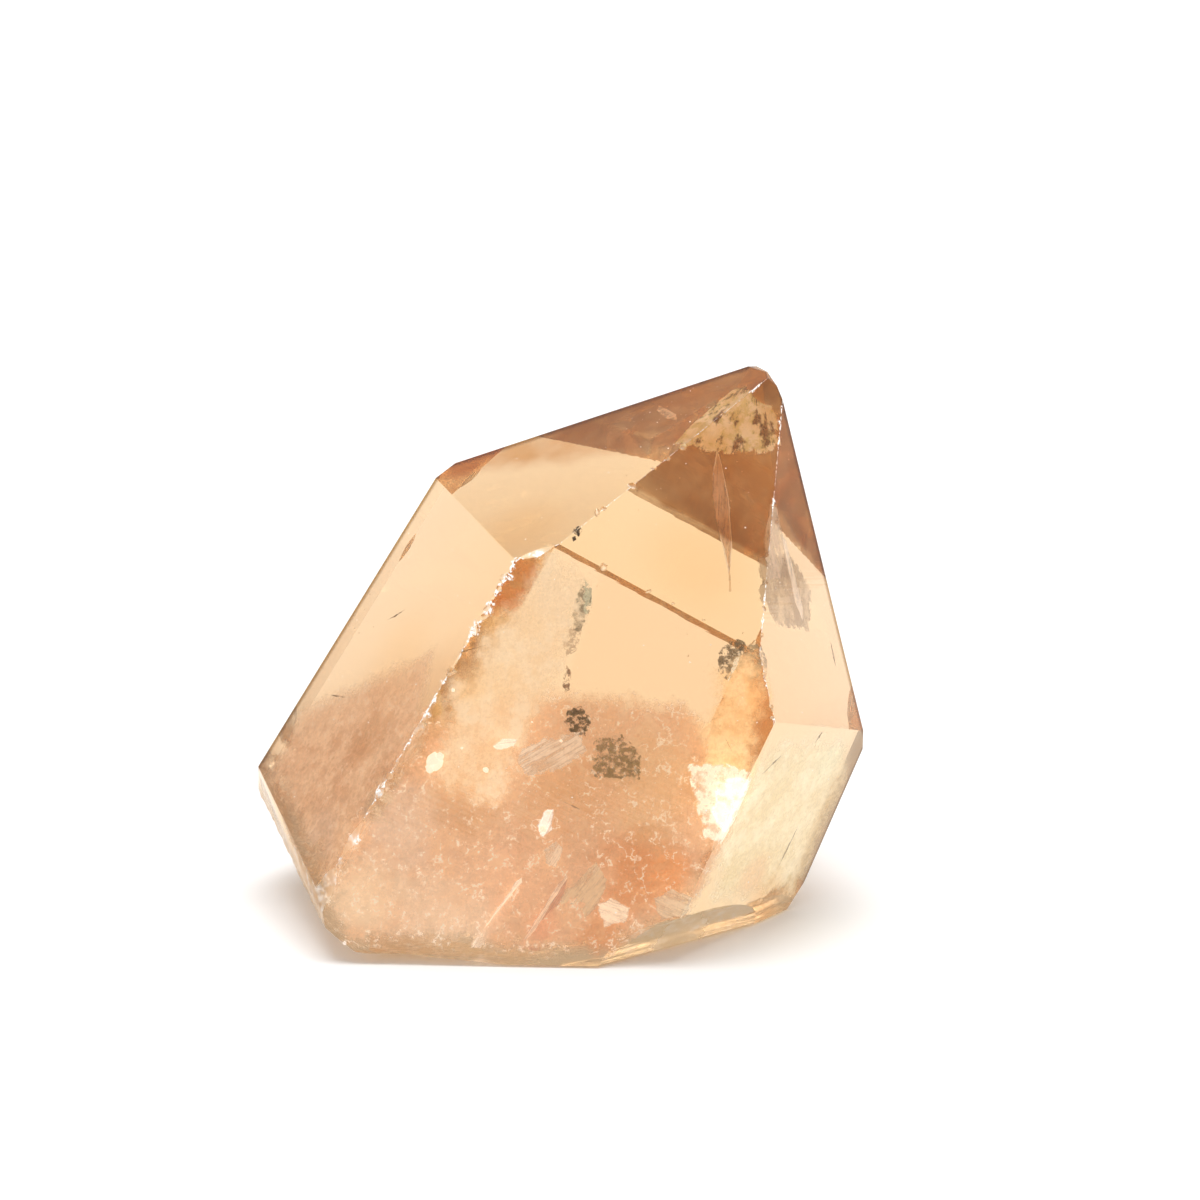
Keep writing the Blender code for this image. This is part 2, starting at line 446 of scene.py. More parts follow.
# Warmer and darker zones lower down on each face
wash(on["front_tip"] * citrine.near("front_tip", 700, 560).fall(1.0, 6.5) * 0.8, (0.93, 0.80, 0.62))
wash(on["left_tip"] * citrine.near("left_tip", 520, 530).fall(1.0, 5.0) * 0.8, (0.95, 0.80, 0.60))
# Painted shadow: the left face is darker below a curved line across it.
wash(on["left"] * (citrine.above("left", (323, 708), (451, 651)) * -1.0 + wander).rise(-2.2, 1.5) * 0.9, (0.86, 0.72, 0.60))
wash(on["left"] * citrine.near("left", 400, 660).fall(1.0, 5.5) * 0.5, (0.97, 0.80, 0.55))
wash(on["front"] * (citrine.above("front", (556, 705), (600, 572)) * -1.0 + wander * 0.3).rise(-0.4, 0.5) * 0.8, (0.95, 0.88, 0.80))
wash(on["right_tip"] * citrine.near("right_tip", 790, 590).fall(0.8, 3.0) * 0.7, (0.80, 0.72, 0.64))
wash(on["right"] * (citrine.inset("back_right") + wander * 0.3).fall(0.4, 2.9) * 0.85, (0.66, 0.47, 0.30))
wash(on["right"] * citrine.near("right", 765, 900).fall(0.8, 3.4) * 0.8, (0.90, 0.66, 0.46))

# Painted shade: an olive line where the far faces meet the near ones along the outline
outline = 0.0
for near_face, far_face, reach in (
    ("left", "back_left", 0.62),
    ("left_tip", "back_left_tip", 0.55),
    ("right", "back_right", 0.30),
    ("right_tip", "back_right_tip", 0.45),
    ("right_tip", "back_right", 0.30),
):
    gap = citrine.inset(near_face) + citrine.inset(far_face)
    outline = gap.fall(reach * 0.3, reach) + outline
wash(outline.least(1.0), OUTLINE_SHADE)

# Bruised edges: white crumbs where two faces meet, thick and thin along the edge
ragged = citrine.cloud(1.1, 4.0, 0.65, shift=6.0)
thickness = ragged.rise(0.42, 0.74) * (0.25 + drift.rise(0.42, 0.58) * 1.5) + 0.05
crumbs = 0.0
for one_face, other_face, reach in (
    ("front", "left", 0.60),
    ("front", "left_tip", 0.35),
    ("front", "right_tip", 0.18),
    ("front_tip", "left_tip", 0.10),
    ("front_tip", "right_tip", 0.16),
):
    gap = citrine.inset(one_face) + citrine.inset(other_face)
    crumbs = crumbs + (gap / (reach * thickness)).fall(0.5, 1.0)
crumbs = crumbs.least(1.0) * citrine.cloud(5.0, 1.0, shift=2.0).rise(0.38, 0.56)

is_broken = citrine.node("Attribute", {"attribute_name": "broken"}, {}, "Fac")
scars = ragged
steps = citrine.vector(citrine.measure((0.4, 0.0, 0.9)) * 4.0, citrine.measure((0.9, 0.0, -0.4)) * 0.25, 0.0)
relief = citrine.cloud(1.0, 1.0, at=steps) * 0.3 + scars * is_broken * 3.0
citrine.set(
    base_color=colour,
    roughness=(0.02 + is_broken * (0.25 + scars * 0.25)).least(0.6),
    ior=CLEAR_INDEX,
    transmission_weight=1.0,
    normal=citrine.bump(relief, 0.02, 0.35),
)
# The crumbs and the broken end are frosted white of their own, and their faint glow is painted light.
frost_with_painted_glow = citrine.node("BsdfPrincipled", {}, {"Base Color": WHITE, "Roughness": 0.55, "Emission Color": WHITE, "Emission Strength": 0.25})
milk = (crumbs + is_broken * scars.rise(0.45, 0.75) * 0.5).least(1.0)
skin = citrine.node("MixShader", {}, {0: milk, 1: Reading(citrine, citrine.shader.outputs[0]), 2: frost_with_painted_glow})
citrine.feed(citrine.end.inputs["Surface"], skin)
thirst = citrine.node("VolumeAbsorption", {}, {"Color": (0.96, 0.78, 0.47), "Density": 25.0})
citrine.feed(citrine.end.inputs["Volume"], thirst)

crystal.data.materials.clear()
crystal.data.materials.append(citrine.material)
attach(crystal, "root")
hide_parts("citrine_crystal")


# The flaws. They are cracks and films sealed in the quartz as it grew, or opened by
# knocks, and they show as thin bright sheets. The first is the white feather under
# the tip: a bruise whose ridges fan out from the point that was struck.

SKIN_GAP = 0.06
SHEET_GAP = 0.004
sheets = []


def pane(name, face, hang, corners, ripple=0.15, ripple_size=2.0, ragged=0.08, cells=36, thick=0.03):
    """A thin sheet in the glass: hung from three places, each with its depth, and cut
    along a convex outline of picture places, given clockwise as seen."""
    pins = [seen(face, *pin) for pin in hang]
    square = (pins[1] - pins[0]).cross(pins[2] - pins[0]).normalized()
    if square.dot(VIEW_FROM - pins[0]) < 0.0:
        square.negate()
    rim = []
    for x, y in corners:
        meets, inward = sightline(face, x, y)
        rim.append(meets + inward * (pins[0] - meets).dot(square) / inward.dot(square))
    middle = sum(rim, Vector()) / len(rim)
    reach = max((point - middle).length for point in rim) * 2.1
    deselect()
    bpy.ops.mesh.primitive_grid_add(
        x_subdivisions=cells,
        y_subdivisions=cells,
        size=reach,
        location=middle,
        rotation=square.to_track_quat("Z", "Y").to_euler(),
    )
    sheet = bpy.context.object
    settle(sheet, name)
    bpy.ops.object.mode_set(mode="EDIT")
    for one, two in zip(rim, rim[1:] + rim[:1]):
        bpy.ops.mesh.select_all(action="SELECT")
        inwards = (two - one).cross(square).normalized()
        bpy.ops.mesh.bisect(plane_co=one, plane_no=inwards, clear_inner=True, threshold=0.001 * MM)
    bpy.ops.object.mode_set(mode="OBJECT")
    buckle = bpy.data.textures.new(name + "_buckle", "CLOUDS")
    buckle.noise_scale = ripple_size * MM
    finish_modifier(
        sheet, "DISPLACE", texture=buckle, texture_coords="LOCAL", strength=ripple * 2.0 * MM, mid_level=0.5
    )
    tear = bpy.data.textures.new(name + "_tear", "CLOUDS")
    tear.noise_scale = 0.35 * MM
    tear.cloud_type = "COLOR"
    finish_modifier(
        sheet,
        "DISPLACE",
        texture=tear,
        texture_coords="LOCAL",
        direction="RGB_TO_XYZ",
        strength=ragged * 2.0 * MM,
        mid_level=0.5,
    )
    # Tuck in what lies beyond the crystal's skin, each sheet a little deeper than the last
    tuck = SKIN_GAP + SHEET_GAP * len(sheets)
    finish_modifier(sheet, "SHRINKWRAP", target=crystal, wrap_mode="INSIDE", offset=tuck * MM)
    finish_modifier(sheet, "SOLIDIFY", thickness=thick * MM, offset=0.0)
    sheets.append(sheet)
    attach(sheet, "root")
    return sheet, (rim, square)


def margin(made, outline):
    """Distance inwards from the nearest side of a sheet's outline, in millimetres."""
    rim, square = outline
    nearest = None
    for one, two in zip(rim, rim[1:] + rim[:1]):
        inwards = (two - one).cross(square).normalized()
        away = made.measure(inwards) - inwards.dot(one) * 1000.0
        nearest = away if nearest is None else nearest.least(away)
    return nearest


IVORY = (0.97, 0.91, 0.80)

feather, feather_outline = pane(
    "tip_feather",
    "front_tip",
    ((727, 385, 0.35), (775, 430, 0.35), (690, 436, 0.5)),
    ((727, 374), (752, 380), (782, 412), (783, 446), (762, 456), (700, 454), (672, 444), (688, 414)),
    ripple=0.12,
    ripple_size=0.6,
)
plume = Recipe("tip_feather")
struck = seen("front_tip", 756, 366, 0.4)
outward = flats["front_tip"][0]
level = outward.cross(Vector((0.0, 0.0, 1.0))).normalized()
across = plume.measure(level) - level.dot(struck) * 1000.0
down = plume.measure(level.cross(outward)) - level.cross(outward).dot(struck) * 1000.0
bearing = plume.node("Math", {"operation": "ARCTAN2"}, {0: across, 1: down})
distance = plume.near("front_tip", 756, 366, 0.4)
barbs = plume.cloud(1.0, 4.0, 0.7, at=plume.vector(bearing * 9.0, distance * 0.5, 0.0))
gaps = plume.cloud(1.0, 2.0, 0.5, at=plume.vector(bearing * 4.0, distance * 0.35, 7.0))
plates = plume.cloud(1.1, 4.0, 0.7)
lit_ridges = (barbs * 0.45 + gaps * 0.4 + plates * 0.3).rise(0.47, 0.57)
body = (margin(plume, feather_outline) + (barbs - 0.5) * 2.0 + (plates - 0.5) * 1.0).rise(0.25, 0.42)
body = body * plume.near("front_tip", 770, 386, 0.4).rise(1.55, 1.75)
ivory = plume.mix(plates.rise(0.42, 0.58), (0.80, 0.72, 0.44), IVORY)
# The ridges are ivory with a painted glow, and the gaps between them are painted shade in dark brown.
plume.set(
    base_color=plume.mix(lit_ridges, (0.30, 0.17, 0.06), ivory),
    emission_color=plume.mix(lit_ridges, (0.02, 0.01, 0.0), ivory),
    emission_strength=0.42,
    roughness=0.5,
    alpha=body * (lit_ridges * 0.6 + 0.38),
    normal=plume.bump(barbs, 0.2),
)
feather.data.materials.append(plume.material)


# Cracks in the tip faces: an upright leaf-shaped crack under the front tip face, a fan and a streak under the right
# one.
# Where they open, a painted glow stands in for the light they mirror.

def film(name, outline, colour, cover, glow, fray=0.3, streaks=None, thin=0.35, lit_rim=False, grain=1.3):
    """A finish for a crack or a film: its outline, its colour, how much it covers, a painted glow standing in
    for the light it catches, how frayed its rim is, and the run of its streaks."""
    made = Recipe(name)
    mottle = made.cloud(grain, 4.0, 0.65)
    inside = margin(made, outline) + (mottle - 0.5) * fray * 4.0
    if streaks:
        direction, fine = streaks
        direction = Vector(direction).normalized()
        sideways = direction.cross(Vector((0.1, 1.0, 0.2))).normalized()
        run = made.vector(made.measure(direction) * 0.25, made.measure(sideways) * fine, 0.0)
        mottle = made.cloud(1.0, 3.0, 0.6, at=run) * 0.7 + mottle * 0.3
    amount = inside.rise(0.0, 0.06 + fray * 0.5) * (thin + (1.0 - thin) * mottle.rise(0.38, 0.58)) * cover
    shade = made.mix(mottle.rise(0.38, 0.58), tuple(part * 0.74 for part in colour), colour)
    if lit_rim:
        # Painted highlight: a white line just inside the rim.
        rim_highlight = inside.rise(0.0, 0.03) * inside.fall(0.06, 0.13)
        amount = amount.most(rim_highlight)
        shade = made.mix(rim_highlight, shade, RIM_HIGHLIGHT_WHITE)
    made.set(
        base_color=shade,
        emission_color=shade,
        emission_strength=glow,
        roughness=0.45,
        alpha=amount.least(1.0),
    )
    return made.material


def crack(name, face, hang, corners, colour, cover, glow, fray=0.3, streaks=None, cells=30, **more):
    sheet, outline = pane(name, face, hang, corners, ripple=0.08, ripple_size=0.8, cells=cells)
    sheet.data.materials.append(film(name, outline, colour, cover, glow, fray, streaks, **more))


crack(
    "leaf_crack", "front_tip",
    ((717, 455, 0.3), (729, 572, 0.3), (735, 520, 1.2)),
    ((717, 450), (723, 470), (729, 500), (732, 545), (730, 578), (721, 538), (715, 505), (713, 475)),
    (0.90, 0.66, 0.48), 0.75, 0.25, 0.04, ((0.1, 0.3, -1.0), 4.0), lit_rim=True,
)
crack(
    "leaf_crack_tail", "front_tip",
    ((727, 540, 0.3), (731, 590, 0.3), (741, 560, 0.7)),
    ((727, 530), (730, 545), (731, 592), (729, 592)),
    (0.95, 0.75, 0.55), 0.8, 0.2, 0.02,
)
crack(
    "right_fan_crack", "right_tip",
    ((773, 506, 0.2), (769, 575, 0.4), (783, 560, 0.9)),
    ((772, 503), (777, 508), (785, 545), (789, 578), (769, 580), (766, 540)),
    (0.97, 0.84, 0.72), 0.7, 0.22, 0.08, ((0.12, -0.05, -1.0), 5.0), thin=0.15,
)
crack(
    "right_streak_crack", "right_tip",
    ((784, 541, 0.2), (800, 612, 0.2), (806, 575, 0.5)),
    ((781, 534), (786, 540), (803, 608), (803, 622), (795, 602)),
    (1.0, 0.92, 0.82), 0.9, 0.35, 0.05, ((0.15, 0.0, -1.0), 5.0),
)
crack(
    "right_grey_film", "right_tip",
    ((770, 560, 0.9), (800, 560, 0.9), (800, 610, 0.9)),
    ((764, 556), (790, 552), (812, 590), (810, 632), (776, 626), (764, 600)),
    (0.74, 0.62, 0.50), 0.45, 0.02, 0.5, ((0.12, 0.0, -1.0), 1.2),
)
crack(
    "left_tip_chips", "left_tip",
    ((655, 410, 0.2), (676, 418, 0.2), (665, 430, 0.3)),
    ((658, 404), (676, 414), (678, 422), (664, 418), (656, 410)),
    (1.0, 0.86, 0.74), 0.8, 0.3, 0.10,
)


# Dark and green guests: small tufts of another mineral that the quartz grew round, and
# an angular olive fracture under the shoulder.

# The two gleams are painted highlights: pale sheets with a glow on the green tuft and on the olive fracture.
GUESTS = (
    ("green_guest", (0.42, 0.40, 0.30), 0.55, 0.0, 1.2, 0.30,
     ((582, 582), (592, 588), (591, 610), (580, 632), (570, 630), (573, 604))),
    ("green_guest_gleam", (0.82, 0.88, 0.76), 0.75, 0.22, 1.0, 0.12,
     ((584, 578), (592, 588), (592, 606), (584, 622), (583, 598))),
    ("green_guest_tail", (0.55, 0.42, 0.32), 0.35, 0.0, 1.6, 0.40,
     ((570, 625), (582, 628), (578, 650), (566, 656), (562, 640))),
    ("brown_wisp", (0.42, 0.24, 0.12), 0.65, 0.0, 2.0, 0.15,
     ((566, 664), (571, 670), (570, 690), (564, 696), (562, 682))),
    ("dark_tuft", (0.22, 0.17, 0.06), 0.85, 0.0, 2.0, 0.42,
     ((568, 708), (582, 706), (592, 720), (586, 736), (572, 734), (564, 722))),
    ("green_cloud", (0.42, 0.36, 0.15), 0.55, 0.0, 2.4, 0.70,
     ((594, 738), (622, 734), (642, 754), (640, 782), (612, 794), (590, 776))),
    ("olive_fracture", (0.36, 0.30, 0.19), 0.75, 0.0, 0.8, 0.12,
     ((718, 650), (733, 640), (745, 644), (742, 668), (728, 682), (718, 672))),
    ("olive_fracture_grey", (0.60, 0.54, 0.44), 0.7, 0.0, 1.0, 0.14,
     ((738, 646), (756, 646), (764, 660), (758, 678), (742, 682), (734, 668))),
    ("olive_fracture_gleam", (0.98, 0.95, 0.84), 1.0, 0.42, 0.6, 0.06,
     ((737, 648), (742, 648), (738, 665), (728, 682), (724, 680), (733, 662))),
    ("tip_speck_dark", (0.10, 0.06, 0.03), 1.0, 0.0, 0.25, 0.04,
     ((574, 527), (580, 526), (583, 531), (579, 537), (574, 534))),
    ("tip_speck_small", (0.12, 0.07, 0.03), 1.0, 0.0, 0.25, 0.03,
     ((572, 537), (576, 536), (577, 540), (573, 542))),
)
for name, colour, cover, glow, depth, fray, corners in GUESTS:
    face = "front_tip" if name.startswith("tip") else "front"
    one, two, three = corners[0], corners[len(corners) // 3], corners[2 * len(corners) // 3]
    hang = ((*one, depth), (*two, depth + 0.2), (*three, depth + 0.5))
    crack(name, face, hang, corners, colour, cover, glow, fray, cells=22, thin=0.0, grain=2.6)


# Milky films in the foot: old fractures that healed and trapped countless tiny
# bubbles. They lie one behind another and cloud the lower half.

def milk_film(name, outline, low, high, patches, cover, glow=0.0, threads=0.0):
    """A cloudy finish: two colours, rounded patches given as face, place, sink, radius
    in mm, strength and colour, how much it covers, and how many bright threads cross it."""
    made = Recipe(name)
    broad = made.cloud(0.28, 3.0, 0.6)
    fine = made.cloud(1.2, 4.0, 0.7, shift=3.0)
    shade = made.mix((broad * 0.6 + fine * 0.4).rise(0.38, 0.62), low, high)
    thick = 0.55 + fine.rise(0.40, 0.60) * 0.25 + broad.rise(0.40, 0.62) * 0.2
    for face, x, y, sink, radius, strength, tone in patches:
        away = made.near(face, x, y, sink) + (broad - 0.5) * radius * 1.6 + (fine - 0.5) * 0.8
        shade = made.mix(away.fall(radius * 0.3, radius * 1.05) * strength, shade, tone)
    inside = margin(made, outline) + (broad - 0.5) * 3.0 + (fine - 0.5) * 1.2
    amount = inside.rise(0.2, 2.2) * thick * cover
    if threads:
        knots = made.cloud(0.9, 4.0, 0.6, shift=7.0)
        thread = (knots - 0.5).size().fall(0.010, 0.030) * fine.rise(0.50, 0.58) * threads
        bright = thread.most(made.cells(2.2, shift=5.0).fall(0.07, 0.13) * broad.rise(0.42, 0.55) * threads)
        shade = made.mix(bright, shade, (1.0, 0.97, 0.92))
        amount = amount.most(bright * inside.rise(0.2, 1.0))
    # The glow is painted light that stands in for light scattered in the cloud.
    made.set(
        base_color=shade,
        emission_color=shade,
        emission_strength=glow,
        roughness=0.6,
        alpha=amount.least(1.0),
    )
    return made.material


CREAM = (0.95, 0.82, 0.66)
TAN = (0.74, 0.47, 0.25)
PINK_TAN = (0.82, 0.57, 0.41)
AMBER = (0.76, 0.38, 0.14)
LILAC = (0.86, 0.72, 0.62)

MILKY_FILMS = (
    ("foot_milk", "front", ((330, 880, 0.5), (700, 900, 1.6), (520, 700, 3.4)),
     ((360, 800), (420, 720), (520, 680), (690, 690), (745, 790), (722, 860), (690, 925), (600, 966), (345, 950), (308, 905)),
     PINK_TAN, (0.88, 0.64, 0.44),
     (("front", 360, 900, 0.8, 4.2, 0.85, CREAM), ("front", 440, 925, 0.9, 5.0, 0.8, (0.93, 0.78, 0.64)),
      ("front", 400, 820, 1.5, 4.0, 0.7, LILAC), ("front", 470, 805, 2.0, 3.6, 0.6, TAN),
      ("front", 510, 875, 1.4, 3.2, 0.55, (0.92, 0.66, 0.48)), ("front", 570, 800, 2.2, 5.0, 0.5, TAN),
      ("front", 640, 870, 1.5, 3.6, 0.9, AMBER), ("front", 672, 872, 1.5, 2.2, 0.8, (0.90, 0.46, 0.17)),
      ("front", 600, 940, 1.0, 2.6, 0.7, AMBER), ("front", 660, 790, 2.4, 5.0, 0.6, (0.84, 0.62, 0.38)),
      ("front", 545, 925, 0.9, 1.6, 0.6, (0.90, 0.52, 0.34))), 0.95, 0.34, 0.9),
    ("peach_right", "front", ((720, 660, 1.2), (765, 700, 1.2), (735, 790, 1.6)),
     ((700, 664), (752, 640), (776, 662), (778, 710), (754, 790), (716, 842), (682, 800), (694, 730)),
     (0.96, 0.72, 0.42), (0.98, 0.80, 0.54),
     (("front", 758, 700, 1.2, 1.6, 0.8, (0.98, 0.66, 0.34)),), 0.95, 0.5, 0.0),
    ("cream_left", "front", ((560, 560, 1.0), (480, 700, 1.3), (540, 740, 1.9)),
     ((548, 546), (604, 575), (562, 700), (500, 820), (420, 800), (436, 690), (496, 590)),
     (0.98, 0.82, 0.60), (1.0, 0.92, 0.78),
     (("front", 487, 620, 1.2, 1.6, 0.8, (0.96, 0.64, 0.28)), ("front", 560, 590, 1.1, 3.0, 0.7, (0.99, 0.90, 0.76)),
      ("front", 470, 690, 1.4, 2.0, 0.5, (0.98, 0.76, 0.46))), 0.8, 0.34, 0.0),
    ("left_face_milk", "left", ((330, 720, 1.0), (420, 700, 1.4), (330, 870, 0.8)),
     ((262, 780), (300, 700), (440, 640), (420, 740), (330, 890), (310, 868)),
     (0.84, 0.60, 0.42), (0.94, 0.78, 0.62),
     (("left", 370, 740, 1.2, 3.0, 0.6, TAN), ("left", 320, 840, 1.0, 3.0, 0.7, LILAC),
      ("left", 290, 790, 1.0, 2.2, 0.5, (0.94, 0.74, 0.56))), 0.8, 0.3, 0.5),
    ("right_face_mist", "right", ((790, 740, 1.0), (840, 760, 1.4), (760, 880, 0.8)),
     ((770, 730), (858, 732), (850, 790), (795, 905), (705, 910), (716, 850)),
     (0.86, 0.78, 0.56), (0.97, 0.93, 0.80),
     (("right", 830, 760, 1.2, 2.6, 0.6, (0.88, 0.90, 0.76)), ("right", 750, 880, 1.0, 2.4, 0.7, (0.92, 0.70, 0.50))), 0.75, 0.42, 0.0),
)
for name, face, hang, corners, low, high, patches, cover, glow, threads in MILKY_FILMS:
    veil, outline = pane(name, face, hang, corners, ripple=0.45, ripple_size=4.0, ragged=0.12, cells=70)
    veil.data.materials.append(milk_film(name, outline, low, high, patches, cover, glow, threads))


# Bright fractures in the foot: flat cracks that were opened when the crystal broke off.
# They are pale with a painted glow, and the largest shows a painted white flash beside the right edge.

BRIGHT = (
    ("right_flash", "front", ((692, 765, 0.5), (750, 770, 0.4), (718, 835, 0.7)),
     ((684, 752), (720, 762), (758, 760), (756, 790), (742, 826), (722, 846), (704, 838), (692, 790)),
     (1.0, 0.96, 0.90), 1.0, 0.62, 0.55, None),
    ("right_flash_core", "front", ((700, 790, 0.35), (745, 790, 0.35), (720, 835, 0.45)),
     ((716, 780), (748, 778), (750, 796), (738, 822), (722, 832), (712, 812)),
     (1.0, 0.99, 0.95), 1.0, 0.95, 0.40, None),
    ("shard_left", "front", ((474, 942, 1.2), (520, 882, 1.1), (480, 900, 2.0)),
     ((470, 945), (486, 905), (522, 877), (518, 893), (492, 938), (480, 948)),
     (0.98, 0.88, 0.78), 0.75, 0.30, 0.05, ((0.62, 0.0, 0.78), 3.0)),
    ("shard_left_edge", "front", ((472, 944, 0.5), (520, 881, 0.5), (476, 944, 1.5)),
     ((513, 887), (522, 877), (522, 883), (480, 948), (470, 948)),
     (1.0, 0.94, 0.88), 1.0, 0.5, 0.03, ((0.62, 0.0, 0.78), 6.0)),
    ("shard_pink", "front", ((522, 946, 0.8), (566, 880, 0.8), (560, 925, 1.5)),
     ((517, 948), (560, 882), (568, 877), (562, 905), (540, 952)),
     (0.94, 0.64, 0.50), 0.8, 0.12, 0.05, ((0.55, 0.0, 0.83), 3.0)),
    ("shard_pink_line", "front", ((520, 946, 0.6), (566, 880, 0.6), (534, 950, 1.2)),
     ((558, 884), (567, 874), (568, 878), (523, 950), (517, 950)),
     (1.0, 0.86, 0.74), 0.9, 0.35, 0.02, ((0.55, 0.0, 0.83), 6.0)),
    ("shard_middle", "front", ((566, 880, 1.0), (604, 885, 0.8), (580, 945, 0.8)),
     ((562, 892), (596, 862), (608, 880), (600, 905), (578, 925), (556, 930)),
     (0.96, 0.84, 0.66), 0.75, 0.20, 0.15, ((0.6, 0.0, 0.8), 2.0)),
    ("chips_foot_left", "front", ((600, 905, 0.4), (626, 905, 0.4), (612, 925, 0.6)),
     ((596, 904), (612, 898), (630, 908), (628, 922), (604, 928)),
     (1.0, 0.93, 0.84), 0.95, 0.45, 0.18, ((0.9, 0.0, -0.3), 2.5)),
    ("chips_foot_right", "front", ((656, 900, 0.4), (690, 900, 0.4), (672, 918, 0.6)),
     ((652, 898), (672, 889), (692, 896), (692, 914), (662, 922)),
     (0.98, 0.88, 0.74), 0.8, 0.28, 0.20, ((0.9, 0.0, -0.4), 2.5)),
    ("wisp_band", "front", ((520, 745, 0.9), (582, 740, 0.8), (560, 790, 1.4)),
     ((512, 754), (544, 736), (580, 732), (588, 750), (562, 772), (526, 776)),
     (1.0, 0.92, 0.84), 0.75, 0.28, 0.45, ((0.8, 0.0, 0.5), 3.0)),
    ("wisp_short", "front", ((496, 744, 0.6), (515, 740, 0.6), (505, 750, 0.9)),
     ((492, 746), (504, 738), (518, 739), (514, 746), (497, 750)),
     (1.0, 0.97, 0.92), 1.0, 0.6, 0.10, ((1.0, 0.0, 0.1), 3.0)),
    ("wisp_low", "front", ((545, 860, 0.8), (560, 845, 0.8), (552, 866, 1.2)),
     ((544, 850), (556, 840), (564, 848), (556, 868), (545, 864)),
     (0.98, 0.90, 0.80), 0.75, 0.3, 0.12, ((0.5, 0.0, 0.85), 3.0)),
    ("sparkle", "front", ((538, 826, 0.5), (552, 812, 0.5), (548, 834, 0.8)),
     ((536, 826), (545, 810), (554, 808), (553, 830), (542, 838)),
     (0.95, 0.96, 1.0), 1.0, 0.7, 0.15, ((0.4, 0.0, 0.9), 3.0)),
)
for name, face, hang, corners, colour, cover, glow, fray, streaks in BRIGHT:
    crack(name, face, hang, corners, colour, cover, glow, fray, streaks, cells=34)


# Dark hairlines: fine closed cracks that show only as threads.

HAIRS = (
    ("right", (785, 752), (760, 776)), ("right", (824, 730), (814, 744)), ("right", (800, 822), (776, 872)),
    ("front", (724, 735), (734, 756)), ("front", (441, 658), (490, 644)), ("front", (560, 800), (585, 812)),
    ("left", (385, 622), (408, 608)), ("left", (322, 694), (352, 698)), ("right_tip", (830, 640), (836, 668)),
)
for number, (face, one, two) in enumerate(HAIRS):
    (x1, y1), (x2, y2) = one, two
    length = math.dist(one, two)
    dx, dy = (y2 - y1) / length, (x1 - x2) / length
    belly = 0.9
    aside = 12.0
    middle = ((x1 + x2) / 2.0, (y1 + y2) / 2.0)
    corners = (one, (middle[0] + dx * belly, middle[1] + dy * belly), two, (middle[0] - dx * belly, middle[1] - dy * belly))
    hang = ((*one, 0.3), (*two, 0.3), (middle[0] + dx * aside, middle[1] + dy * aside, 0.6))
    crack("hairline_%d" % number, face, hang, corners, (0.42, 0.30, 0.16), 0.9, 0.0, 0.03, cells=16)


# Bubbles and dust: a round white bubble low on the left of the front face, a few small
# ones near it, and dust that clings to every face.

def speck(face, x, y, depth, radius, squash=1.0, fine=2):
    """One bubble or grain of dust."""
    deselect()
    bpy.ops.mesh.primitive_ico_sphere_add(subdivisions=fine, radius=radius * MM, location=(0.0, 0.0, 0.0))
    grain = bpy.context.object
    bpy.ops.object.mode_set(mode="EDIT")
    bpy.ops.mesh.select_all(action="SELECT")
    bpy.ops.transform.vertex_random(offset=radius * 0.35 * MM, seed=int(x * 7 + y * 3) % 997)
    bpy.ops.object.mode_set(mode="OBJECT")
    grain.scale = (1.0, 1.0, squash)
    grain.rotation_euler = flats[face][0].to_track_quat("Z", "Y").to_euler()
    grain.location = seen(face, x, y, depth)
    return grain


def gather(grains, name, material):
    deselect()
    for grain in grains:
        grain.select_set(True)
    bpy.context.view_layer.objects.active = grains[0]
    bpy.ops.object.join()
    settle(grains[0], name)
    grains[0].data.materials.clear()
    grains[0].data.materials.append(material)
    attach(grains[0], "root")


gas = Recipe("bubble_white")
froth = gas.cloud(2.5, 3.0)
froth_colour = gas.mix(froth, (0.98, 0.92, 0.84), (1.0, 0.99, 0.96))
# The bubbles' white glow is painted light.
gas.set(base_color=froth_colour, emission_color=froth_colour, emission_strength=0.7, roughness=0.4, normal=gas.bump(froth, 0.1))
BUBBLES = (
    (434, 762, 0.9, 0.62), (430, 768, 0.8, 0.36), (440, 757, 0.8, 0.30), (486, 770, 0.5, 0.22), (462, 748, 0.5, 0.10),
    (543, 829, 0.5, 0.26), (548, 812, 0.5, 0.16), (561, 741, 0.5, 0.12), (532, 722, 0.5, 0.08), (453, 690, 0.4, 0.14),
)
gather([speck("front", x, y, depth, radius, 0.6) for x, y, depth, radius in BUBBLES], "bubbles", gas.material)

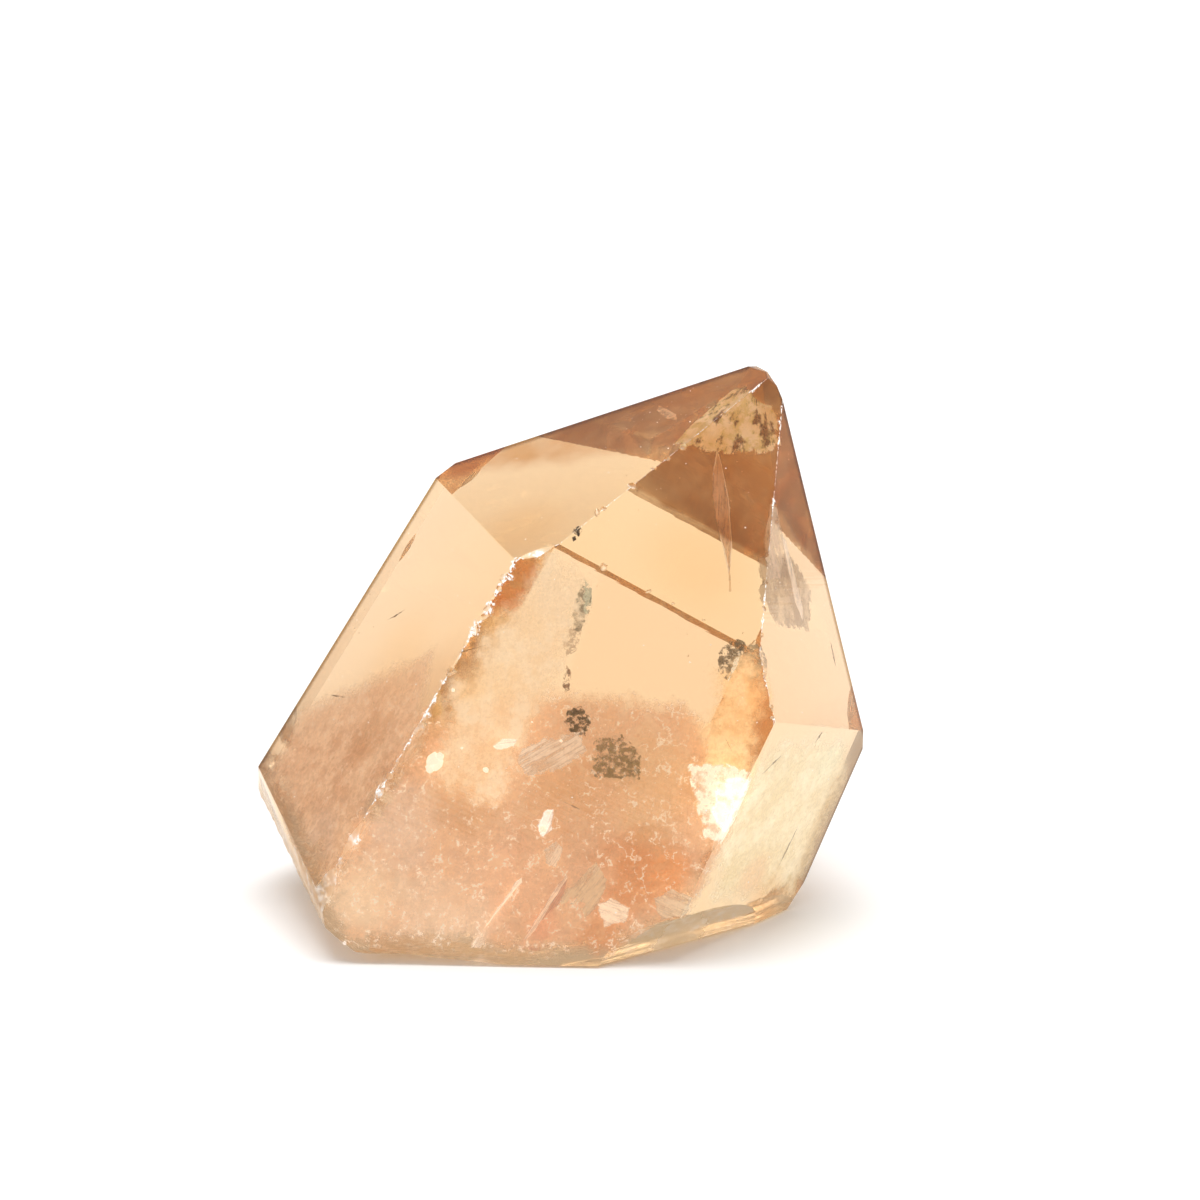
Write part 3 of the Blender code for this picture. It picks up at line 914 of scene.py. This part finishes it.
DUST_COUNT = 420
lint = Recipe("dust_pale")
lint_tone = lint.cloud(0.5, 2.0)
# The dust is pale of its own, and its faint glow is painted light.
lint.set(base_color=lint.mix(lint_tone, (0.80, 0.74, 0.66), (0.97, 0.95, 0.92)), roughness=0.8, emission_color=(1.0, 0.97, 0.93), emission_strength=0.12)
deselect()
bpy.ops.mesh.primitive_ico_sphere_add(subdivisions=1, radius=MM)
mote = bpy.context.object
chance = random.Random(31)
motes = []
names = list(flats)
while len(motes) < DUST_COUNT:
    face = chance.choice(names)
    outward, on_face = flats[face]
    slide = outward.orthogonal().normalized()
    place = on_face + slide * chance.uniform(-22, 22) * MM + outward.cross(slide) * chance.uniform(-22, 22) * MM
    clear_of = [(point - place).dot(way) for key, (way, point) in flats.items() if key != face]
    if min(clear_of) < 0.3 * MM or place.z < 3.0 * MM or place.z > 39.0 * MM:
        continue
    if place.x < -0.9 * place.z - 0.0 and place.z < 9.0 * MM:
        continue
    size = 0.022 + 0.05 * chance.random() ** 3
    grain = mote.copy()
    grain.data = mote.data.copy()
    bpy.context.scene.collection.objects.link(grain)
    grain.location = place
    grain.scale = (size, size * chance.uniform(0.5, 1.0), size * 0.5)
    grain.rotation_euler = outward.to_track_quat("Z", "Y").to_euler()
    motes.append(grain)
bpy.data.objects.remove(mote, do_unlink=True)
gather(motes, "dust", lint.material)


# The table and the light: a matt white sheet, an even room, and a broad soft light
# straight above that leaves the sheet pure white.

TABLE_DROP = 0.2 * MM

deselect()
bpy.ops.mesh.primitive_plane_add(size=3.0, location=(0.0, 0.0, -TABLE_DROP))
table = bpy.context.object
settle(table, "table")
paper = Recipe("table_paper")
fleck = paper.cloud(0.02, 2.0)
paper.set(base_color=paper.mix(fleck, (0.93, 0.93, 0.93), (0.95, 0.95, 0.95)), roughness=0.9)
table.data.materials.append(paper.material)

sky = bpy.data.worlds.new("soft_room")
sky.use_nodes = True
sky.node_tree.nodes["Background"].inputs["Color"].default_value = (1.0, 1.0, 1.0, 1.0)
sky.node_tree.nodes["Background"].inputs["Strength"].default_value = 0.62
sky.cycles.sampling_method = "NONE"
bpy.context.scene.world = sky

overhead_data = bpy.data.lights.new("overhead", "SUN")
overhead_data.energy = 2.3
overhead_data.angle = math.radians(50.0)
overhead = bpy.data.objects.new("overhead", overhead_data)
bpy.context.scene.collection.objects.link(overhead)

rendering = bpy.context.scene
rendering.view_settings.view_transform = "Standard"
rendering.cycles.max_bounces = 16
rendering.cycles.transmission_bounces = 16
rendering.cycles.glossy_bounces = 8
rendering.cycles.diffuse_bounces = 3
rendering.cycles.transparent_max_bounces = 16
rendering.cycles.use_light_tree = False
